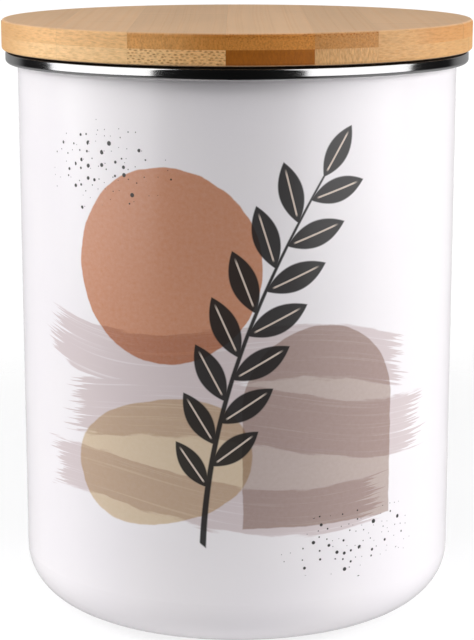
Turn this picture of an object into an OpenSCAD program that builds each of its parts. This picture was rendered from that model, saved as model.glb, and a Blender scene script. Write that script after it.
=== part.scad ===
// Round enamelled steel kitchen canister with a steel rim ring and a laminated bamboo lid.
// Millimetres, +Z up. The canister stands on z = 0 and its axis is the Z axis.

/* [Canister body] */
// Outer diameter of the straight wall
body_d = 121.5; // [100:0.5:180]
// Height of the lip above the standing face
body_h = 154.5; // [90:0.1:240]
// Thickness of the enamelled sheet
sheet_t = 1.0; // [0.6:0.1:1.6]
// Outer radius of the corner between wall and base
base_corner_r = 13.9; // [6:0.1:20]
// Width of the flat ring that the canister stands on
standing_w = 6.0; // [3:0.5:12]
// Height of the pressed-in panel in the base
panel_h = 0.8; // [0.4:0.1:2]
// Radius of the two bends at the edge of the base panel
panel_bend_r = 1.5; // [1.2:0.1:4]

/* [Lip] */
// Radius of the bend where the wall turns out, on its underside
mouth_bend_r = 0.6; // [0.3:0.1:1.5]
// Width of the flat between the lip's two bends
lip_flat_w = 0.85; // [0.3:0.05:3]
// Radius of the bend where the lip turns down, on its underside
hem_bend_r = 0.3; // [0.2:0.1:0.8]
// Height of the straight part of the turned-down edge
hem_leg_h = 0.35; // [0.1:0.05:2]

/* [Rim ring] */
// Thickness of the ring's strip
ring_t = 0.5; // [0.3:0.1:0.7]
// Outer radius of the ring's upper edge
ring_upper_r = 0.8; // [0.8:0.05:1.3]
// Width of the ring's leaf under the lip
ring_lower_leaf_w = 2.7; // [1.8:0.1:3.2]
// Gap between the ring and the lip inside it
crimp_gap = 0.05; // [0.02:0.01:0.1]

/* [Lid] */
// How far the lid stands out past the ring
lid_overhang = 0.95; // [0:0.05:6]
// Thickness of one bamboo ply
ply_t = 4.15; // [3:0.05:8]
// Radius of the lid's top and bottom edges
lid_edge_r = 0.9; // [0.3:0.1:2]
// Gap between the lid's underside and the ring
lid_seat_gap = 0.3; // [0.1:0.05:1]

/* [Slats] */
// Number of slats across the lid
slat_count = 6; // [4:1:8]
// How far each joint between slats lies to the right of an even layout, from the left joint on
joint_shifts = [-2.8, -5.7, -2.8, -2.4, -7.8]; // [-8:0.1:8]

/* [Plug and seal] */
// Radial gap between the plug and the canister's wall
plug_gap = 2.25; // [1.5:0.05:4]
// Radius of the plug's lower edge
plug_edge_r = 0.8; // [0.3:0.1:1.5]
// Depth of the seal's groove in the plug
groove_depth = 1.6; // [0.8:0.1:3]
// Height of the seal's groove
groove_h = 4.4; // [3:0.1:5]
// Gap between the seal and its groove
seal_fit = 0.05; // [0.02:0.01:0.2]
// Gap between the seal's fins and the canister's wall
seal_gap = 0.3; // [0.2:0.05:0.6]
// Number of fins on the seal
fin_count = 3; // [1:1:4]
// Thickness of a fin at its root
fin_root_t = 0.9; // [0.5:0.1:1.2]
// Thickness of a fin at its tip
fin_tip_t = 0.5; // [0.3:0.05:0.8]
// How far a fin's tip rises above its root
fin_rise = 0.5; // [0:0.1:1]

/* [Hidden] */
$fn = 96;

body_r = body_d / 2;
mouth_r = body_r - sheet_t;
standing_r = body_r - base_corner_r;

// The edge of the base panel is an S-bend of two equal arcs.
panel_bend_angle = acos(1 - panel_h / (2 * panel_bend_r));
panel_bend_w = 2 * panel_bend_r * sin(panel_bend_angle);
panel_edge_r = standing_r - standing_w;
panel_flat_r = panel_edge_r - panel_bend_w;

// The lip, from the wall outwards: bend, flat, bend and turned-down edge with a round end.
mouth_bend_x = body_r + mouth_bend_r;
mouth_bend_z = body_h - sheet_t - mouth_bend_r;
hem_bend_x = mouth_bend_x + lip_flat_w;
hem_bend_z = body_h - sheet_t - hem_bend_r;
lip_r = hem_bend_x + hem_bend_r + sheet_t;
hem_end_z = hem_bend_z - hem_leg_h;
lip_bottom = hem_end_z - sheet_t / 2;

// The ring wraps the lip, and its lower edge follows the lip's round end.
ring_r = lip_r + crimp_gap + ring_t;
ring_top = body_h + crimp_gap + ring_t;
ring_bottom = lip_bottom - crimp_gap - ring_t;
ring_h = ring_top - ring_bottom;
ring_lower_r = sheet_t / 2 + crimp_gap + ring_t;
ring_upper_leaf_r = mouth_bend_x;
ring_lower_leaf_r = ring_r - ring_lower_leaf_w;

lid_r = ring_r + lid_overhang;
lid_bottom = ring_top + lid_seat_gap;
plug_r = mouth_r - plug_gap;
plug_bottom = lid_bottom - 2 * ply_t;
groove_r = plug_r - groove_depth;
groove_bottom = plug_bottom + ply_t - groove_h / 2;

seal_r = groove_r + seal_fit;
seal_h = groove_h - 2 * seal_fit;
seal_bottom = groove_bottom + seal_fit;
fin_tip_r = mouth_r - seal_gap - fin_tip_t / 2;
fin_pitch = (seal_h - fin_root_t) / max(fin_count - 1, 1);

// The plies from the top of the lid down: name, outer radius and height of the underside.
plies = [
    ["lid_top", lid_r, lid_bottom + ply_t],
    ["lid_under", lid_r, lid_bottom],
    ["plug_upper", plug_r, lid_bottom - ply_t],
    ["plug_lower", plug_r, plug_bottom]
];
ply_ids = [0 : len(plies) - 1];
last_disc_ply = 1;
rim_margin = 1;

// A ply's slats run between its joints, and its outer slats run past its rim.
even_slat_w = 2 * lid_r / slat_count;
slat_ids = [1 : slat_count];
function ply_r(ply) = plies[ply][1];
function slat_reach(ply) = ply_r(ply) + rim_margin;
function joint_shift(joint) = joint > len(joint_shifts) ? 0 : joint_shifts[joint - 1];
function joint_x(joint) = joint * even_slat_w - lid_r + joint_shift(joint);
function slat_left(ply, slat) = slat == 1 ? -slat_reach(ply) : joint_x(slat - 1);
function slat_right(ply, slat) = slat == slat_count ? slat_reach(ply) : joint_x(slat);
function slat_name(ply, slat) = str(plies[ply][0], "_slat_", slat);

enamel_colour = "white";
steel_colour = "silver";
silicone_colour = [0.9, 0.9, 0.88];
bamboo_colours = ["burlywood", "peru", "tan", "sandybrown"];

// Quarter of a disc, towards +x and the given side in y.
module quarter_disc(r, side) {
    intersection() {
        circle(r);
        translate([0, side > 0 ? 0 : -r]) square(r);
    }
}

// Quarter of a bent sheet, towards +y and the given side in x.
module quarter_bend(inner_r, side) {
    outer_r = inner_r + sheet_t;
    intersection() {
        difference() {
            circle(outer_r);
            circle(inner_r);
        }
        translate([side > 0 ? 0 : -outer_r, 0]) square(outer_r);
    }
}

// Half section of a disc or drum with rounded edges; a radius of 0 leaves an edge square.
module disc_half(r, h, lower_r, upper_r) {
    square([r - lower_r, h / 2]);
    translate([0, h / 2]) square([r - upper_r, h / 2]);
    translate([0, lower_r]) square([r, h - lower_r - upper_r]);
    if (lower_r > 0) translate([r - lower_r, lower_r]) quarter_disc(lower_r, -1);
    if (upper_r > 0) translate([r - upper_r, h - upper_r]) quarter_disc(upper_r, 1);
}

// Half section of the space under the base panel, with its S-bend edge.
module panel_half() {
    middle_r = panel_flat_r + panel_bend_w / 2;
    square([panel_flat_r, panel_h]);
    intersection() {
        translate([panel_flat_r, panel_h - panel_bend_r]) circle(panel_bend_r);
        translate([panel_flat_r, 0]) square([panel_bend_w / 2, panel_h]);
    }
    difference() {
        translate([middle_r, 0]) square([panel_bend_w / 2, panel_h / 2]);
        translate([panel_edge_r, panel_bend_r]) circle(panel_bend_r);
    }
}

// Half section of the drawn cup: wall, rounded corner and base panel.
module cup_half() {
    difference() {
        disc_half(body_r, mouth_bend_z, base_corner_r, 0);
        panel_half();
        translate([0, sheet_t])
            difference() {
                disc_half(mouth_r, mouth_bend_z, base_corner_r - sheet_t, 0);
                panel_half();
            }
    }
}

// Section of the lip: turned out over the wall, then turned down to a round end.
module lip_half() {
    translate([mouth_bend_x, mouth_bend_z]) quarter_bend(mouth_bend_r, -1);
    translate([mouth_bend_x, body_h - sheet_t]) square([lip_flat_w, sheet_t]);
    translate([hem_bend_x, hem_bend_z]) quarter_bend(hem_bend_r, 1);
    translate([lip_r - sheet_t, hem_end_z]) square([sheet_t, hem_leg_h]);
    translate([lip_r - sheet_t / 2, hem_end_z]) circle(sheet_t / 2);
}

module canister_body() {
    color(enamel_colour)
        rotate_extrude() {
            cup_half();
            lip_half();
        }
}

// Section of the ring: a bent strip with one leaf over the lip and one under it.
module ring_half() {
    difference() {
        disc_half(ring_r, ring_h, ring_lower_r, ring_upper_r);
        translate([0, ring_t])
            disc_half(ring_r - ring_t, ring_h - 2 * ring_t, ring_lower_r - ring_t, ring_upper_r - ring_t);
        square([ring_lower_leaf_r, ring_h / 2]);
        translate([0, ring_h / 2]) square([ring_upper_leaf_r, ring_h / 2]);
    }
}

module rim_ring() {
    color(steel_colour)
        translate([0, 0, ring_bottom])
            rotate_extrude() ring_half();
}

// The lid's disc as it leaves the lathe.
module lid_disc() {
    translate([0, 0, lid_bottom])
        rotate_extrude() disc_half(lid_r, 2 * ply_t, lid_edge_r, lid_edge_r);
}

// The plug under the disc, with the groove for the seal.
module lid_plug() {
    rotate_extrude()
        difference() {
            translate([0, plug_bottom]) disc_half(plug_r, 2 * ply_t, plug_edge_r, 0);
            translate([groove_r, groove_bottom]) square([groove_depth, groove_h]);
        }
}

// One slat: the part of the disc or plug between two slat joints and two glue lines.
module slat(ply, slat) {
    left = slat_left(ply, slat);
    reach = slat_reach(ply);
    color(bamboo_colours[(ply + slat) % len(bamboo_colours)])
        intersection() {
            if (ply <= last_disc_ply) lid_disc(); else lid_plug();
            translate([left, -reach, plies[ply][2]])
                cube([slat_right(ply, slat) - left, 2 * reach, ply_t]);
        }
}

// Section of one fin, from inside the seal's band to its rounded tip.
module fin_half() {
    tip_z = fin_root_t / 2 + fin_rise;
    polygon([
        [seal_r, 0],
        [plug_r, 0],
        [fin_tip_r, tip_z - fin_tip_t / 2],
        [fin_tip_r, tip_z + fin_tip_t / 2],
        [plug_r, fin_root_t],
        [seal_r, fin_root_t]
    ]);
    translate([fin_tip_r, tip_z]) circle(fin_tip_t / 2);
}

module lid_seal() {
    color(silicone_colour)
        translate([0, 0, seal_bottom])
            rotate_extrude() {
                translate([seal_r, 0]) square([plug_r - seal_r, seal_h]);
                for (fin = [0 : fin_count - 1]) translate([0, fin * fin_pitch]) fin_half();
            }
}

canister_body();
rim_ring();
lid_seal();
for (ply = ply_ids, slat = slat_ids)
    slat(ply, slat);
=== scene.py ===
import functools
import math
import random

import bpy
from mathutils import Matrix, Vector


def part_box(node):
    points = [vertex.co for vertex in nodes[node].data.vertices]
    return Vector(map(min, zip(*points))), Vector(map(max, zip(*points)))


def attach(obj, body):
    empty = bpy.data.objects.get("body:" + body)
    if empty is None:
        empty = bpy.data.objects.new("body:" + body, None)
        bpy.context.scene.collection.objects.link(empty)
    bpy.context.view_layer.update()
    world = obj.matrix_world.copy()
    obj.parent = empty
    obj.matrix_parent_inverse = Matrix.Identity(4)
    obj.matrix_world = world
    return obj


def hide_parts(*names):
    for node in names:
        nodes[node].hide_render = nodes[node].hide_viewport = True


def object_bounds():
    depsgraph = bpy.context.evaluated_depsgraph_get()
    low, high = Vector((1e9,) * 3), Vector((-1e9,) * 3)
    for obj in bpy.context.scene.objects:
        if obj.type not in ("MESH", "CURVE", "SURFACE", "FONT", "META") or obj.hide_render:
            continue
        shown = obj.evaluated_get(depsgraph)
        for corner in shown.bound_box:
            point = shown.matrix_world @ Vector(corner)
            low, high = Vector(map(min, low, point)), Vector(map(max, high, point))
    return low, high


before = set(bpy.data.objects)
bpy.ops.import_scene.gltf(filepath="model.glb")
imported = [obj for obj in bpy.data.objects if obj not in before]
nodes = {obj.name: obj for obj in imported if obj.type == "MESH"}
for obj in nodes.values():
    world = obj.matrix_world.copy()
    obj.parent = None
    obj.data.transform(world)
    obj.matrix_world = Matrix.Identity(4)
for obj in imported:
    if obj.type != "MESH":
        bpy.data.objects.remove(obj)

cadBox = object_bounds()
mm = 0.001
print("frame loaded:", len(nodes), "pieces")


# Shader maths as Python expressions

class Wire:
    def __init__(self, socket):
        self.socket = socket

    def node(self, kind, settings=None, inputs=None, out=0):
        made = self.socket.id_data.nodes.new("ShaderNode" + kind)
        for name, value in (settings or {}).items():
            if name == "stops":
                setStops(made.color_ramp, value)
            else:
                setattr(made, name, value)
        for key, value in (inputs or {}).items():
            feed(made.inputs[key], value)
        return Wire(made.outputs[out])

    def other(self, out):              # another output of the same node
        return Wire(self.socket.node.outputs[out])

    def math(self, operation, *values):
        return self.node("Math", {"operation": operation}, dict(enumerate(values)))

    def __add__(self, value):
        return self.math("ADD", self, value)

    def __radd__(self, value):
        return self.math("ADD", value, self)

    def __sub__(self, value):
        return self.math("SUBTRACT", self, value)

    def __rsub__(self, value):
        return self.math("SUBTRACT", value, self)

    def __mul__(self, value):
        return self.math("MULTIPLY", self, value)

    def __rmul__(self, value):
        return self.math("MULTIPLY", value, self)

    def __truediv__(self, value):
        return self.math("DIVIDE", self, value)

    def __rtruediv__(self, value):
        return self.math("DIVIDE", value, self)

    def __pow__(self, value):
        return self.math("POWER", self, value)

    def __neg__(self):
        return self.math("MULTIPLY", self, -1.0)

    def __abs__(self):
        return self.math("ABSOLUTE", self)

    def __gt__(self, value):
        return self.math("GREATER_THAN", self, value)


def feed(socket, value):               # a link from a wire, or a plain value
    if isinstance(value, Wire):
        socket.id_data.links.new(value.socket, socket)
    else:
        socket.default_value = value


def setStops(ramp, stops):
    while len(ramp.elements) < len(stops):
        ramp.elements.new(1.0)
    for element, (place, level) in zip(ramp.elements, stops):
        element.position = place
        element.color = (level, level, level, 1.0)


def linear(red, green, blue):          # display colour, 0 to 255, as a shader colour
    def channel(level):
        share = level / 255
        return share / 12.92 if share <= 0.04045 else ((share + 0.055) / 1.055) ** 2.4
    return (channel(red), channel(green), channel(blue), 1.0)


def softStep(value, low, high):        # 0 below low, 1 above high
    inputs = {"Value": value, "From Min": low, "From Max": high}
    return value.node("MapRange", {"interpolation_type": "SMOOTHSTEP"}, inputs)


def larger(first, second):
    return first.math("MAXIMUM", first, second)


def smaller(first, second):
    return first.math("MINIMUM", first, second)


def lengthOf(x, y):
    return (x ** 2.0 + y ** 2.0) ** 0.5


def angleRound(x, y):                  # radians about the axis from the front, positive to the right
    return x.math("ARCTAN2", x, -y)


def blendColour(wire, factor, first, second, mode="MIX"):
    settings = {"data_type": "RGBA", "blend_type": mode}
    return wire.node("Mix", settings, {0: factor, 6: first, 7: second}, 2)


def grey(value):                       # one value as a grey colour
    return value.node("CombineColor", {}, {0: value, 1: value, 2: value})


def vector(x, y, z):
    return x.node("CombineXYZ", {}, {0: x, 1: y, 2: z})


def splitAxes(place):
    first = place.node("SeparateXYZ", {}, {0: place})
    return first, first.other(1), first.other(2)


def shifted(place, shift):
    return place.node("VectorMath", {"operation": "ADD"}, {0: place, 1: shift})


def stretched(place, scale):
    return place.node("VectorMath", {"operation": "MULTIPLY"}, {0: place, 1: scale})


def noise(place, rate=1.0, detail=2.0, roughness=0.5):     # rate: one number, or one for each axis
    if isinstance(rate, tuple):
        place = stretched(place, rate)
        rate = 1.0
    inputs = {"Vector": place, "Scale": rate, "Detail": detail, "Roughness": roughness}
    return place.node("TexNoise", {}, inputs)


def cells(place, jitter):              # one point in each unit cell: distance and chance
    inputs = {"Vector": place, "Scale": 1.0, "Randomness": jitter}
    spot = place.node("TexVoronoi", {"voronoi_dimensions": "2D"}, inputs)
    return spot, spot.node("SeparateColor", {}, {0: spot.other("Color")})


def bump(height):                      # height in mm
    return height.node("Bump", {}, {"Height": height, "Distance": mm})


def newFinish(name):                   # the material, its shader and the place on the surface in mm
    material = bpy.data.materials.new(name)
    material.use_nodes = True
    shader = material.node_tree.nodes["Principled BSDF"]
    place = Wire(shader.outputs[0]).node("TexCoord", out="Object")
    millimetres = place.node("VectorMath", {"operation": "SCALE"}, {0: place, "Scale": 1 / mm})
    return material, shader, millimetres


def dress(node, material):
    for slot in nodes[node].material_slots:
        slot.material = material


# Canister: white enamel with a printed design

# u runs round the wall from the front, positive to the right, and v runs up, both in mm
canister = {
    "white": (244, 240, 243),          # fired enamel
    "thin": (242, 238, 242),           # where the coat is thin
    "thinPatches": {"rate": 0.03},
    "thinRange": (0.35, 0.7),
    "roughness": 0.2,
    "roughnessDrift": 0.08,
    "smears": {"rate": (0.02, 0.02, 0.008), "detail": 4.0, "roughness": 0.6},
    "ior": 1.52,
    "peel": {"rate": 1 / 2.6, "detail": 1.0},              # faint waves of the coat, 2.6 mm apart
    "peelHeight": 0.0025,              # mm
    "inks": {
        "wash": (226, 216, 215),       # pale brush bands
        "terracotta": (209, 141, 97),
        "taupe": (196, 180, 170),
        "sand": (225, 205, 170),
        "charcoal": (46, 44, 44),
        "vein": (214, 198, 186),
    },
    "printDepth": 0.4,                 # mm below the wall's outer face that still take ink
    "inkGrain": {"rate": 0.9, "detail": 4.0, "roughness": 0.65},
    "inkLevel": 0.9,
    "inkDrift": 0.2,
    "charcoalLevel": 0.97,
    "charcoalRoughness": 0.05,         # added where the charcoal lies
    "edgeFade": 0.22,                  # mm
    "edgeWander": 0.55,                # mm
    "edgeNoise": {"rate": 0.14, "detail": 3.0},
    "disc": {"u": -19.0, "v": 104.0, "radius": 25.5},
    "arch": {"u": 23.0, "foot": 35.0, "spring": 67.0, "half": 21.5},
    "pebble": {"u": -21.0, "v": 52.0, "half": (25.0, 16.5), "turn": 13.0, "fullness": 2.3},
    "brush": {
        "swing": 17.0,                 # mm along a band for one radian of its wave
        "apart": 9.0,                  # keeps the bristle patterns of the bands apart
        "bristles": {"rate": (0.022, 1.3, 1.0), "detail": 3.0, "roughness": 0.6},
        "ragged": {"rate": (0.09, 0.5, 1.0), "detail": 3.0},
        "raggedBy": 4.0,               # mm along the sides
        "frayedBy": 34.0,              # mm at the ends
        "sideFade": (-0.3, 0.5),
        "endFade": (-0.4, 1.2),
        "dryShare": 0.38,              # ink that is missing where the bristles were dry
        "dryRange": (0.3, 0.48),
    },
    "bands": [
        {"from": -55.0, "to": 47.0, "v": 84.0, "half": 7.2, "wave": 3.2, "phase": 0.4, "fall": -0.07},
        {"from": -47.0, "to": 55.0, "v": 66.0, "half": 7.8, "wave": 2.8, "phase": 2.1, "fall": -0.05},
        {"from": -56.0, "to": 39.0, "v": 45.5, "half": 6.4, "wave": 2.4, "phase": 4.0, "fall": -0.06},
    ],
    # shares run from 0 at the foot of the branch to 1 at its tip, or along a leaf
    "branch": {
        "foot": (-9.0, 30.0),
        "tip": (25.0, 131.0),
        "bow": -7.5,
        "footHalf": 0.8625,            # half the stem
        "tipHalf": 0.3,
        "footSlant": 0.008,            # share in each mm across
        "footFade": (0.0, 0.006),
        "tipFade": (0.97, 0.99),
        "pairs": 7,
        "firstLeaf": 0.16,
        "leafRun": 0.8,                # share from the first leaf to the last
        "leaf": 17.5,                  # length of the largest
        "leafHalf": 3.5,
        "leastSize": 0.66,
        "sizeFrom": 0.18,              # sizes follow a sine from here, in half turns
        "sizeRun": 0.62,
        "spread": 43.0,                # degrees from the stem
        "veinHalf": 0.24,
        "veinFade": 0.08,
        "veinStart": (0.1, 0.16),
        "veinEnd": (0.78, 0.9),
    },
    "specks": {
        "groups": [
            {"u": -38.0, "v": 129.0, "reach": (24.0, 14.0)},
            {"u": 34.0, "v": 29.0, "reach": (26.0, 11.0)},
        ],
        "pitch": 2.3,
        "smallest": 0.1,               # radius
        "largest": 0.62,
        "rarity": 3.0,                 # the higher, the fewer large ones
        "crowding": 1.5,               # the higher, the denser at the middle of a group
        "fade": 0.1,
    },
}


def inked(inside, fade=canister["edgeFade"]):          # millimetres inside an edge as a share of ink
    return softStep(inside, -fade, fade)


def turned(u, v, degrees):             # along and across a line at that angle
    along = u * math.cos(math.radians(degrees)) + v * math.sin(math.radians(degrees))
    across = v * math.cos(math.radians(degrees)) - u * math.sin(math.radians(degrees))
    return along, across


def discInk(u, v, wander):
    disc = canister["disc"]
    return inked(disc["radius"] + wander - lengthOf(u - disc["u"], v - disc["v"]))


def archInk(u, v, wander):
    arch = canister["arch"]
    away = lengthOf(u - arch["u"], larger(v - arch["spring"], 0.0))
    return inked(smaller(arch["half"] - away, v - arch["foot"]) + wander)


def pebbleInk(u, v, wander):
    pebble = canister["pebble"]
    along, across = turned(u - pebble["u"], v - pebble["v"], pebble["turn"])
    longHalf, shortHalf = pebble["half"]
    full = pebble["fullness"]
    share = (abs(along / longHalf) ** full + abs(across / shortHalf) ** full) ** (1 / full)
    return inked((1.0 - share) * shortHalf + wander)


def bandInk(u, v, band):               # one stroke of a half dry brush
    brush = canister["brush"]
    swing = u / brush["swing"] + band["phase"]
    middle = band["v"] + band["fall"] * (u - band["from"]) + band["wave"] * swing.math("SINE", swing)
    across = v - middle
    place = vector(u, across, brush["apart"] * band["phase"])
    bristles = noise(place, **brush["bristles"])
    ragged = noise(place, **brush["ragged"])
    inside = band["half"] - abs(across) + (ragged - 0.5) * brush["raggedBy"]
    ends = smaller(u - band["from"], band["to"] - u) + (bristles - 0.5) * brush["frayedBy"]
    body = softStep(inside, *brush["sideFade"]) * softStep(ends, *brush["endFade"])
    dry = brush["dryShare"]
    return body * (1.0 - dry + dry * softStep(bristles, *brush["dryRange"]))


def leafInk(u, v, leaf):               # the leaf, and the vein in it
    branch = canister["branch"]
    along, across = turned(u - leaf["u"], v - leaf["v"], leaf["turn"])
    share = along / leaf["length"]
    body = inked(4.0 * leaf["half"] * share * (1.0 - share) - abs(across))
    vein = inked(branch["veinHalf"] - abs(across), branch["veinFade"])
    within = softStep(share, *branch["veinStart"]) * (1.0 - softStep(share, *branch["veinEnd"]))
    return body, body * vein * within


def branchPoint(share):
    branch = canister["branch"]
    (footU, footV), (tipU, tipV) = branch["foot"], branch["tip"]
    sway = 4.0 * branch["bow"] * share * (1.0 - share)
    return footU + (tipU - footU) * share + sway, footV + (tipV - footV) * share


def branchLeaves():                    # leaves by turns left and right, and one at the tip
    branch = canister["branch"]
    last = branch["pairs"] * 2
    ahead = 0.01                       # share to the next point, for the heading
    for number in range(last + 1):
        share = branch["firstLeaf"] + branch["leafRun"] * number / last
        u, v = branchPoint(share)
        nextU, nextV = branchPoint(share + ahead)
        heading = math.degrees(math.atan2(nextV - v, nextU - u))
        side = 0 if number == last else 1 - 2 * (number % 2)
        swell = math.sin(math.pi * (branch["sizeFrom"] + branch["sizeRun"] * number / last))
        size = branch["leastSize"] + (1.0 - branch["leastSize"]) * swell
        yield {"u": u, "v": v, "turn": heading + side * branch["spread"],
               "length": branch["leaf"] * size, "half": branch["leafHalf"] * size}


def branchInk(u, v):                   # stem and leaves, and the veins in the leaves
    branch = canister["branch"]
    share = (v - branch["foot"][1]) / (branch["tip"][1] - branch["foot"][1])
    aside = u - branchPoint(share)[0]
    foot = share + branch["footSlant"] * aside             # cut aslant
    within = softStep(foot, *branch["footFade"]) * (1.0 - softStep(share, *branch["tipFade"]))
    half = branch["footHalf"] + (branch["tipHalf"] - branch["footHalf"]) * share
    stem = inked(half - abs(aside)) * within
    bodies, veins = zip(*(leafInk(u, v, leaf) for leaf in branchLeaves()))
    return functools.reduce(larger, bodies, stem), functools.reduce(larger, veins)


def speckInk(u, v):
    specks = canister["specks"]
    pitch = specks["pitch"]
    spot, chance = cells(vector(u / pitch, v / pitch, 0.0), 1.0)
    growth = specks["largest"] - specks["smallest"]
    radius = specks["smallest"] + growth * chance ** specks["rarity"]
    dots = inked(radius - spot * pitch, specks["fade"])
    nearness = []
    for group in specks["groups"]:
        reachU, reachV = group["reach"]
        nearness.append(1.0 - lengthOf((u - group["u"]) / reachU, (v - group["v"]) / reachV))
    crowd = functools.reduce(larger, nearness)
    return dots * (specks["crowding"] * crowd > chance.other(1))


def layInk(under, cover, name, level=1.0):
    return blendColour(cover, cover * level, under, linear(*canister["inks"][name]), "MULTIPLY")


def coverInk(under, cover, name):
    return blendColour(cover, cover, under, linear(*canister["inks"][name]))


def printedEnamel(wallRadius):
    material, shader, place = newFinish("printedEnamel")
    x, y, v = splitAxes(place)
    u = angleRound(x, y) * wallRadius
    outside = lengthOf(x, y) > wallRadius - canister["printDepth"]
    sheet = vector(u, v, 0.0)
    wander = (noise(sheet, **canister["edgeNoise"]) - 0.5) * (2.0 * canister["edgeWander"])
    level = canister["inkLevel"] + canister["inkDrift"] * (noise(sheet, **canister["inkGrain"]) - 0.5)
    drift = softStep(noise(place, **canister["thinPatches"]), *canister["thinRange"])
    colour = blendColour(drift, drift, linear(*canister["white"]), linear(*canister["thin"]))
    washes = functools.reduce(larger, [bandInk(u, v, band) for band in canister["bands"]])
    colour = layInk(colour, washes * outside, "wash")
    colour = layInk(colour, pebbleInk(u, v, wander) * outside, "sand", level)
    colour = layInk(colour, archInk(u, v, wander) * outside, "taupe", level)
    colour = layInk(colour, discInk(u, v, wander) * outside, "terracotta", level)
    branch, veins = branchInk(u, v)
    dark = larger(branch, speckInk(u, v)) * outside
    colour = coverInk(colour, dark * canister["charcoalLevel"], "charcoal")
    colour = coverInk(colour, veins * outside, "vein")
    feed(shader.inputs["Base Color"], colour)
    smears = (noise(place, **canister["smears"]) - 0.5) * canister["roughnessDrift"]
    roughness = canister["roughness"] + smears + dark * canister["charcoalRoughness"]
    feed(shader.inputs["Roughness"], roughness)
    waves = noise(place, **canister["peel"])
    feed(shader.inputs["Normal"], bump(waves * canister["peelHeight"]))
    shader.inputs["IOR"].default_value = canister["ior"]
    return material


lowCorner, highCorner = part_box("canister_body")
halfHeight = (lowCorner.z + highCorner.z) / 2
lowerWall = [vertex.co for vertex in nodes["canister_body"].data.vertices if vertex.co.z < halfHeight]
wallRadius = max(math.hypot(point.x, point.y) for point in lowerWall)
dress("canister_body", printedEnamel(wallRadius / mm))
print("canister enamelled and printed")


# Rim ring: polished steel strip over the lip, with a leaf above and a leaf below

ring = {
    "sheet": 0.5,                      # mm
    "upperBend": 0.8,                  # outside radius of each bend
    "lowerBend": 1.05,
    "leafReach": 2.7,                  # from the outside to the inner edge of the leaves
    "bendSteps": 12,
    "flatMargin": 0.03,                # extra loop beside each bend keeps the flats flat
    "turns": 288,
    "sharpAngle": 40.0,                # degrees
    "colour": (214, 213, 212),
    "dull": (204, 204, 206),
    "smears": {"rate": 0.09, "detail": 3.0},
    "dullRange": (0.3, 0.7),
    "roughness": 0.13,
    "smearRoughness": 0.04,
    "lineRoughness": 0.03,
    "lines": {"detail": 3.0, "roughness": 0.6},            # left by the polishing
    "linePitch": 0.16,                 # mm between the finest
    "lineRate": 0.02,                  # changes in each mm round the ring
    "lineHeight": 0.0003,              # mm
}


def bend(centreR, centreZ, radius, fromDegrees, toDegrees):
    points = []
    for step in range(ring["bendSteps"] + 1):
        angle = math.radians(fromDegrees + (toDegrees - fromDegrees) * step / ring["bendSteps"])
        points.append((centreR + radius * math.cos(angle), centreZ + radius * math.sin(angle)))
    return points


def ringSkin(innerR, outerR, low, high, depth):        # one face of the strip, depth inside the outer one
    margin = ring["flatMargin"]
    outerR, low, high = outerR - depth, low + depth, high - depth
    upperBend, lowerBend = ring["upperBend"] - depth, ring["lowerBend"] - depth
    skin = [(innerR, low), (outerR - lowerBend - margin, low)]
    skin += bend(outerR - lowerBend, low + lowerBend, lowerBend, -90.0, 0.0)
    skin += [(outerR, low + lowerBend + margin), (outerR, high - upperBend - margin)]
    skin += bend(outerR - upperBend, high - upperBend, upperBend, 0.0, 90.0)
    return skin + [(outerR - upperBend - margin, high), (innerR, high)]


def lathe(name, profile, turns):
    points = []
    faces = []
    count = len(profile)
    for turn in range(turns):
        angle = 2 * math.pi * turn / turns
        points += [(r * mm * math.cos(angle), r * mm * math.sin(angle), z * mm) for r, z in profile]
        here, there = turn * count, (turn + 1) % turns * count
        for step in range(count):
            after = (step + 1) % count
            faces.append((here + step, there + step, there + after, here + after))
    mesh = bpy.data.meshes.new(name)
    mesh.from_pydata(points, [], faces)
    mesh.shade_smooth()
    mesh.set_sharp_from_angle(angle=math.radians(ring["sharpAngle"]))
    piece = bpy.data.objects.new(name, mesh)
    bpy.context.scene.collection.objects.link(piece)
    return piece


def polishedSteel(ringRadius):
    material, shader, place = newFinish("polishedSteel")
    x, y, z = splitAxes(place)
    around = angleRound(x, y) * ringRadius
    pitch = ring["linePitch"]
    strip = vector(around * ring["lineRate"], z / pitch, lengthOf(x, y) / pitch)
    lines = noise(strip, **ring["lines"])
    smears = noise(place, **ring["smears"])
    dull = softStep(smears, *ring["dullRange"])
    colour = blendColour(dull, dull, linear(*ring["colour"]), linear(*ring["dull"]))
    feed(shader.inputs["Base Color"], colour)
    roughness = ring["roughness"] + ring["lineRoughness"] * (lines - 0.5)
    feed(shader.inputs["Roughness"], roughness + ring["smearRoughness"] * (smears - 0.5))
    shader.inputs["Metallic"].default_value = 1.0
    feed(shader.inputs["Normal"], bump(lines * ring["lineHeight"]))
    return material


lowCorner, highCorner = (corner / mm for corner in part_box("rim_ring"))
ringRadius = highCorner.x
ringEdges = (ringRadius - ring["leafReach"], ringRadius, lowCorner.z, highCorner.z)
ringProfile = ringSkin(*ringEdges, 0.0) + ringSkin(*ringEdges, ring["sheet"])[::-1]
rimRing = lathe("rimRing", ringProfile, ring["turns"])
rimRing.data.materials.append(polishedSteel(ringRadius))
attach(rimRing, "canister")
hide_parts("rim_ring")
print("rim ring turned:", len(rimRing.data.polygons), "faces")


# Lid and plug: bamboo slats, their fibres running from front to back

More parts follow.
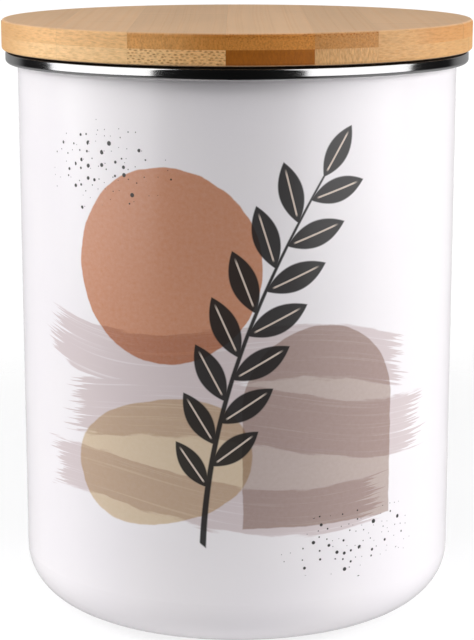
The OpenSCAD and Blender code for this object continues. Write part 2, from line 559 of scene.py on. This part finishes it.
lid = {
    "plies": {"lid_top": "topEnds", "lid_under": "underEnds",
              "plug_upper": "underEnds", "plug_lower": "topEnds"},
    "tones": {
        "cream": (240, 196, 138),
        "pale": (234, 183, 122),
        "honey": (206, 158, 103),
        "amber": (216, 155, 86),
        "tan": (189, 131, 68),
        "ginger": (205, 148, 88),
        "brown": (200, 131, 56),
        "dark": (156, 88, 8),
        "face": (228, 187, 146),       # sanded flat faces
    },
    # the tone at the left and right of each slat's cut end, where in mm the one turns into the other,
    # the grain that the cut shows, how far the upper edge is toasted at the left and right,
    # and how much darker its bundles are there
    "topEnds": [
        {"left": "honey", "right": "pale", "turnAt": -56.0, "blur": 9.0, "grain": "flecks"},
        {"left": "pale", "right": "pale", "turnAt": -36.0, "blur": 7.0, "grain": "flecks"},
        {"left": "amber", "right": "brown", "turnAt": -12.0, "blur": 8.0, "grain": "strands",
         "toast": (0.2, 0.5)},
        {"left": "brown", "right": "brown", "turnAt": 8.0, "blur": 6.0, "grain": "stipple",
         "toast": (0.4, 0.2), "specks": 0.7},
        {"left": "tan", "right": "tan", "turnAt": 24.0, "blur": 4.0, "grain": "stipple",
         "toast": (0.1, 0.1), "specks": 0.7},
        {"left": "honey", "right": "ginger", "turnAt": 47.0, "blur": 5.0, "grain": "flecks",
         "toast": (0.0, 0.15)},
    ],
    "underEnds": [
        {"left": "honey", "right": "cream", "turnAt": -58.0, "blur": 8.0, "grain": "flecks"},
        {"left": "cream", "right": "cream", "turnAt": -36.0, "blur": 6.0, "grain": "flecks"},
        {"left": "cream", "right": "pale", "turnAt": -16.0, "blur": 6.0, "grain": "dashes"},
        {"left": "dark", "right": "dark", "turnAt": 8.0, "blur": 6.0, "grain": "strands"},
        {"left": "honey", "right": "honey", "turnAt": 27.0, "blur": 3.0, "grain": "reeds"},
        {"left": "honey", "right": "honey", "turnAt": 50.0, "blur": 4.0, "grain": "flecks"},
    ],
    # fibre bundles: mm across and up from one to the next, how freely they lie, how dark they are;
    # fibres between them: mm across and up, and their contrast
    "grains": {
        "flecks": {"pitch": (2.2, 0.8), "jitter": 1.0, "marks": 0.22,
                   "fibres": (1.3, 0.4), "contrast": 0.5},
        "strands": {"pitch": (0.7, 0.9), "jitter": 0.9, "marks": 0.3,
                    "fibres": (0.4, 1.3), "contrast": 0.7},
        "reeds": {"pitch": (0.7, 1.8), "jitter": 0.9, "marks": 0.25,
                  "fibres": (0.34, 1.6), "contrast": 1.0},
        "stipple": {"pitch": (0.85, 0.62), "jitter": 0.9, "marks": 0.3,
                    "fibres": (0.4, 0.6), "contrast": 0.9},
        "dashes": {"pitch": (1.35, 0.74), "jitter": 0.55, "marks": 0.75,
                   "fibres": (0.7, 0.35), "contrast": 0.8},
    },
    "slatShift": 90.0,                 # mm either way, so that no two slats share a grain
    "sway": 1.2,                       # mm that the fibres wander aside
    "swayNoise": {"rate": (0.03, 0.008, 0.03), "detail": 1.0},
    "bundleEdge": (0.12, 0.24, 0.4),   # core, least reach and its drift, in parts of a cell
    "bundleDrift": {"rate": (0.5, 0.02, 0.5)},
    "fibreDrift": 40.0,                # mm along a fibre before it changes
    "fibreNoise": {"detail": 3.0, "roughness": 0.65},
    "streaks": {"rate": (0.45, 0.006, 0.3), "detail": 3.0, "roughness": 0.55},
    "clouds": {"rate": (0.05, 0.02, 0.12)},
    "streakShade": 0.12,
    "fibreShade": 0.11,                # on the flat faces; the cut ends add their own contrast
    "cloudShade": 0.14,
    "faceDrift": 0.05,                 # how much lighter or darker the flat face of a slat is
    "faceMarks": 0.05,                 # share of the bundles that shows on flat faces
    "rimFacing": (0.45, 0.95),         # how level a face is where the rim ends and a flat face begins
    "endFacing": (0.15, 0.7),          # how far the rim faces along the fibres at a cut end
    "toastDepth": (1.7, 0.4),          # mm below the upper edge: none, and all
    "toastClouds": 1.6,                # mm that the toasted edge wanders
    "toastFibres": 1.2,
    "speckDepth": (1.7, 0.8),          # mm below the upper edge: none, and all
    "knuckle": {
        "reach": 48.0,                 # mm from the middle of a slat within which its knuckle lies
        "sway": 1.6,                   # mm
        "swayRate": 0.09,
        "fray": 0.8,                   # mm
        "line": (0.165, 0.55),         # mm from the middle of the line: full, and none
        "dark": 0.2,
        "swellingAt": 2.0,             # mm beside the line
        "swelling": (0.4, 2.4),        # mm from its middle: full, and none
        "pale": 0.05,
    },
    "jointLine": 0.12,                 # mm, half the glue line between slats
    "jointShade": 0.1,
    # painted shade: a dark ring on the underside of the lid over the steel rim, standing in for the
    # shadow in the seam, in mm from the axis
    "seamShade": {"inner": (60.2, 60.7), "outer": (64.4, 64.8), "facing": (0.6, 0.9), "dark": 0.93},
    "roughness": 0.55,
    "fibreRoughness": 0.16,
    "bundleRoughness": 0.12,
    "specular": 0.3,
    "bundleDepth": 0.012,              # mm
    "fibreDepth": 0.008,
}


def bambooTone(name):
    return linear(*lid["tones"][name])


def bambooGrain(place, draw, grain):
    shift = tuple(draw.uniform(-lid["slatShift"], lid["slatShift"]) for axis in range(3))
    moved = shifted(place, shift)
    x, y, z = splitAxes(moved)
    x = x + (noise(moved, **lid["swayNoise"]) - 0.5) * (2.0 * lid["sway"])
    across, up = grain["pitch"]
    row = z / up
    stagger = 0.5 * row.math("FLOOR", row + (0.5 - 0.5 * grain["jitter"]))
    spot, chance = cells(vector(x / across + stagger, row, 0.0), grain["jitter"])
    core, least, drift = lid["bundleEdge"]
    reach = least + drift * noise(moved, **lid["bundleDrift"])
    bundles = (1.0 - softStep(spot, core, reach)) * (0.5 + 0.5 * chance)
    fibreAcross, fibreUp = grain["fibres"]
    thread = vector(x / fibreAcross, z / fibreUp, y / lid["fibreDrift"])
    fibres = noise(thread, **lid["fibreNoise"])
    streaks = noise(moved, **lid["streaks"])
    clouds = noise(moved, **lid["clouds"])
    return bundles, fibres, streaks, clouds


def knuckleShade(x, y, fibres, middle):                # dark line and pale swelling of the cane's joint
    knuckle = lid["knuckle"]
    bow = noise(vector(x * knuckle["swayRate"], 0.0, middle)) - 0.5
    off = y - middle + bow * (2.0 * knuckle["sway"]) + (fibres - 0.5) * knuckle["fray"]
    line = 1.0 - softStep(abs(off), *knuckle["line"])
    swelling = 1.0 - softStep(abs(off - knuckle["swellingAt"]), *knuckle["swelling"])
    return knuckle["dark"] * line - knuckle["pale"] * swelling


# painted shade: darkens the downward faces of the lid over the steel rim, in place of the seam's shadow
def paintedSeamShade(x, y, nz):                # where the steel rim touches the lid from below
    seamShade = lid["seamShade"]
    radius = lengthOf(x, y)
    within = softStep(radius, *seamShade["inner"]) * (1.0 - softStep(radius, *seamShade["outer"]))
    return seamShade["dark"] * (within * softStep(-nz, *seamShade["facing"]))


def cutEndTone(x, edge, top, cutEnd):  # edge is the height on the slat, a little uneven
    turn = softStep(x, cutEnd["turnAt"] - cutEnd["blur"], cutEnd["turnAt"] + cutEnd["blur"])
    tone = blendColour(turn, turn, bambooTone(cutEnd["left"]), bambooTone(cutEnd["right"]))
    left, right = cutEnd.get("toast", (0.0, 0.0))
    deep, shallow = lid["toastDepth"]
    toast = softStep(edge, top - deep, top - shallow) * (left + (right - left) * turn)
    return blendColour(toast, toast, tone, bambooTone("dark"))


def bambooFinish(name, cutEnd):
    material, shader, place = newFinish(name + "_bamboo")
    grain = lid["grains"][cutEnd["grain"]]
    draw = random.Random(name)
    bundles, fibres, streaks, clouds = bambooGrain(place, draw, grain)
    faceLevel = 1.0 + draw.uniform(-lid["faceDrift"], lid["faceDrift"])
    knuckleAt = draw.uniform(-lid["knuckle"]["reach"], lid["knuckle"]["reach"])
    low, high = (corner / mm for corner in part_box(name))
    x, y, z = splitAxes(place)
    ny, nz = splitAxes(place.node("TexCoord", out="Normal"))[1:]
    rim = 1.0 - softStep(abs(nz), *lid["rimFacing"])
    ends = rim * softStep(abs(ny), *lid["endFacing"])

    edge = z + lid["toastClouds"] * (clouds - 0.5) + lid["toastFibres"] * (fibres - 0.5)
    tone = blendColour(rim, rim, bambooTone("face"), cutEndTone(x, edge, high.z, cutEnd))
    deep, shallow = lid["speckDepth"]
    specks = cutEnd.get("specks", 0.0) * softStep(z, high.z - deep, high.z - shallow)
    shown = lid["faceMarks"] + (1.0 - lid["faceMarks"]) * ends
    marks = bundles * (grain["marks"] + specks) * shown
    tone = blendColour(marks, marks, tone, bambooTone("dark"))

    fibreShade = lid["fibreShade"] + grain["contrast"] * ends
    shade = 1.0 + (streaks - 0.5) * lid["streakShade"] + (fibres - 0.5) * fibreShade
    shade = shade + (clouds - 0.5) * lid["cloudShade"]
    shade = shade * (faceLevel + (1.0 - faceLevel) * rim)
    shade = shade * (1.0 - knuckleShade(x, y, fibres, knuckleAt) * (1.0 - ends))
    joint = 1.0 - softStep(smaller(x - low.x, high.x - x), 0.0, lid["jointLine"])
    # the last factor is the painted seam shade under the lid
    shade = shade * (1.0 - lid["jointShade"] * joint) * (1.0 - paintedSeamShade(x, y, nz))
    feed(shader.inputs["Base Color"], blendColour(shade, 1.0, tone, grey(shade), "MULTIPLY"))

    roughness = lid["roughness"] + lid["fibreRoughness"] * (fibres - 0.5)
    feed(shader.inputs["Roughness"], roughness + lid["bundleRoughness"] * bundles)
    height = fibres * lid["fibreDepth"] - bundles * ends * lid["bundleDepth"]
    feed(shader.inputs["Normal"], bump(height))
    shader.inputs["Specular IOR Level"].default_value = lid["specular"]
    return material


for ply, cutEnds in lid["plies"].items():
    for number, cutEnd in enumerate(lid[cutEnds], 1):
        name = f"{ply}_slat_{number}"
        dress(name, bambooFinish(name, cutEnd))
print("bamboo slats dressed")


# Lid seal: milky silicone

seal = {
    "colour": (226, 226, 222),
    "worn": (216, 217, 214),
    "wear": {"rate": 0.12, "detail": 3.0},
    "wornRange": (0.3, 0.7),
    "roughness": 0.42,
    "dust": {"rate": 2.2, "detail": 3.0, "roughness": 0.6},
    "dustRoughness": 0.14,
    "dustDepth": 0.004,                # mm
    "depthWeight": 0.25,               # share of the light that goes through the silicone
    "depthReach": 2.0,                 # mm
}


def milkySilicone():
    material, shader, place = newFinish("milkySilicone")
    worn = softStep(noise(place, **seal["wear"]), *seal["wornRange"])
    colour = blendColour(worn, worn, linear(*seal["colour"]), linear(*seal["worn"]))
    feed(shader.inputs["Base Color"], colour)
    dust = noise(place, **seal["dust"])
    feed(shader.inputs["Roughness"], seal["roughness"] + seal["dustRoughness"] * (dust - 0.5))
    feed(shader.inputs["Normal"], bump(dust * seal["dustDepth"]))
    shader.inputs["Subsurface Weight"].default_value = seal["depthWeight"]
    shader.inputs["Subsurface Radius"].default_value = (seal["depthReach"] * mm,) * 3
    return material


dress("lid_seal", milkySilicone())
print("finishes on:", len(bpy.data.materials), "materials")


# Studio: pale floor, soft panels, a camera at the photograph's place

# panels are placed by the directions that they fill, seen from the middle of the canister, in degrees
nearPanel = {"away": 0.45, "size": (0.35, 0.25)}
farCard = {"away": 1.1, "elevation": 19.0, "radiance": 1.65}
studio = {
    "floorRadius": 0.4,
    "floorSides": 96,
    "floorFade": (0.16, 0.392),        # metres from the axis where the table thins out into the white
    "floorTone": (149, 149, 150),
    "floorRoughness": 0.9,
    "floorGlow": 0.57,                 # a table lit from below
    "floorSeen": 0.2,                  # how much more of the glow the camera sees
    "background": 1.05,
    # the room by shares of a half turn from front to back, level with the canister and below it
    "surround": [(0.0, 0.005), (0.5, 0.006), (0.71, 0.012), (0.76, 0.2), (0.8, 0.26), (1.0, 0.42)],
    "ground": [(0.0, 0.005), (0.22, 0.01), (0.33, 0.2), (0.5, 0.3), (1.0, 0.36)],
    "groundFrom": (0.15, 0.4),         # how far below level the one goes over into the other
    # these light the matt surfaces
    "fills": {
        "nearLeft": {**nearPanel, "azimuth": -70.0, "elevation": 30.0, "radiance": 3.2},
        "nearRight": {**nearPanel, "azimuth": 70.0, "elevation": 20.0, "radiance": 4.8},
        "sideLeft": {**nearPanel, "azimuth": -95.0, "elevation": 12.0, "radiance": 4.2},
        "sideRight": {**nearPanel, "azimuth": 95.0, "elevation": 12.0, "radiance": 2.8},
        "highFront": {"away": 1.1, "size": (1.03, 0.6),
                      "azimuth": 0.0, "elevation": 60.0, "radiance": 2.3},
    },
    # these show only as reflections
    "cards": {
        "cardLeft": {**farCard, "size": (1.36, 1.18), "azimuth": -70.0},
        "cardRight": {**farCard, "size": (1.31, 1.18), "azimuth": 61.5},
    },
}


def floorFinish():
    material, shader, place = newFinish("paleFloor")
    x, y = splitAxes(place)[:2]
    radius = lengthOf(x, y) * mm
    shader.inputs["Base Color"].default_value = linear(*studio["floorTone"])
    seen = radius.node("LightPath", out="Is Camera Ray")
    feed(shader.inputs["Emission Color"], grey(1.0 + studio["floorSeen"] * seen))
    shader.inputs["Emission Strength"].default_value = studio["floorGlow"]
    shader.inputs["Roughness"].default_value = studio["floorRoughness"]
    feed(shader.inputs["Alpha"], 1.0 - softStep(radius, *studio["floorFade"]))
    return material


def makeFloor():
    bpy.ops.mesh.primitive_circle_add(
        vertices=studio["floorSides"], radius=studio["floorRadius"], fill_type="NGON")
    floor = bpy.context.object
    floor.name = "floor"
    floor.data.materials.append(floorFinish())
    floor.visible_glossy = False       # polished parts mirror the cards, not the table


def makePanel(name, panel, centre, shines):
    azimuth, elevation = math.radians(panel["azimuth"]), math.radians(panel["elevation"])
    level = math.cos(elevation)
    direction = Vector((level * math.sin(azimuth), -level * math.cos(azimuth), math.sin(elevation)))
    data = bpy.data.lights.new(name, "AREA")
    data.shape = "RECTANGLE"
    data.size, data.size_y = panel["size"]
    data.energy = panel["radiance"] * math.pi * data.size * data.size_y
    lamp = bpy.data.objects.new(name, data)
    lamp.location = centre + direction * panel["away"]
    lamp.rotation_euler = (-direction).to_track_quat("-Z", "Y").to_euler()
    lamp.visible_camera = False
    lamp.visible_diffuse = not shines
    lamp.visible_glossy = shines
    bpy.context.scene.collection.objects.link(lamp)


def makeSurround():
    world = bpy.data.worlds.new("surround")
    world.use_nodes = True
    bpy.context.scene.world = world
    background = world.node_tree.nodes["Background"]
    direction = Wire(background.outputs[0]).node("TexCoord", out="Generated")
    x, y, z = splitAxes(direction)
    turn = abs(angleRound(x, y)) / math.pi
    around = turn.node("ValToRGB", {"stops": studio["surround"]}, {0: turn})
    below = turn.node("ValToRGB", {"stops": studio["ground"]}, {0: turn})
    level = blendColour(z, softStep(-z, *studio["groundFrom"]), around, below)
    seen = turn.node("LightPath", out="Is Camera Ray")
    white = (studio["background"],) * 3 + (1.0,)
    feed(background.inputs["Color"], blendColour(seen, seen, level, white))


makeFloor()
makeSurround()
middle = (cadBox[0] + cadBox[1]) / 2
for name, panel in studio["fills"].items():
    makePanel(name, panel, middle, False)
for name, panel in studio["cards"].items():
    makePanel(name, panel, middle, True)

cameraSetup = {
    "place": (0.0, -0.55996, 0.19756),
    "pitch": 12.07,                    # degrees down from level
    "lens": 112.59,                    # mm, along the tall side of the picture
    "sensor": 36.0,                    # mm
    "clipStart": 0.01,
}

cameraData = bpy.data.cameras.new("camera")
cameraData.lens = cameraSetup["lens"]
cameraData.sensor_width = cameraSetup["sensor"]
cameraData.clip_start = cameraSetup["clipStart"]
camera = bpy.data.objects.new("camera", cameraData)
camera.location = cameraSetup["place"]
camera.rotation_euler = (math.radians(90.0 - cameraSetup["pitch"]), 0.0, 0.0)
bpy.context.scene.collection.objects.link(camera)
bpy.context.scene.camera = camera
bpy.context.scene.view_settings.view_transform = "Standard"
print("studio and camera ready")
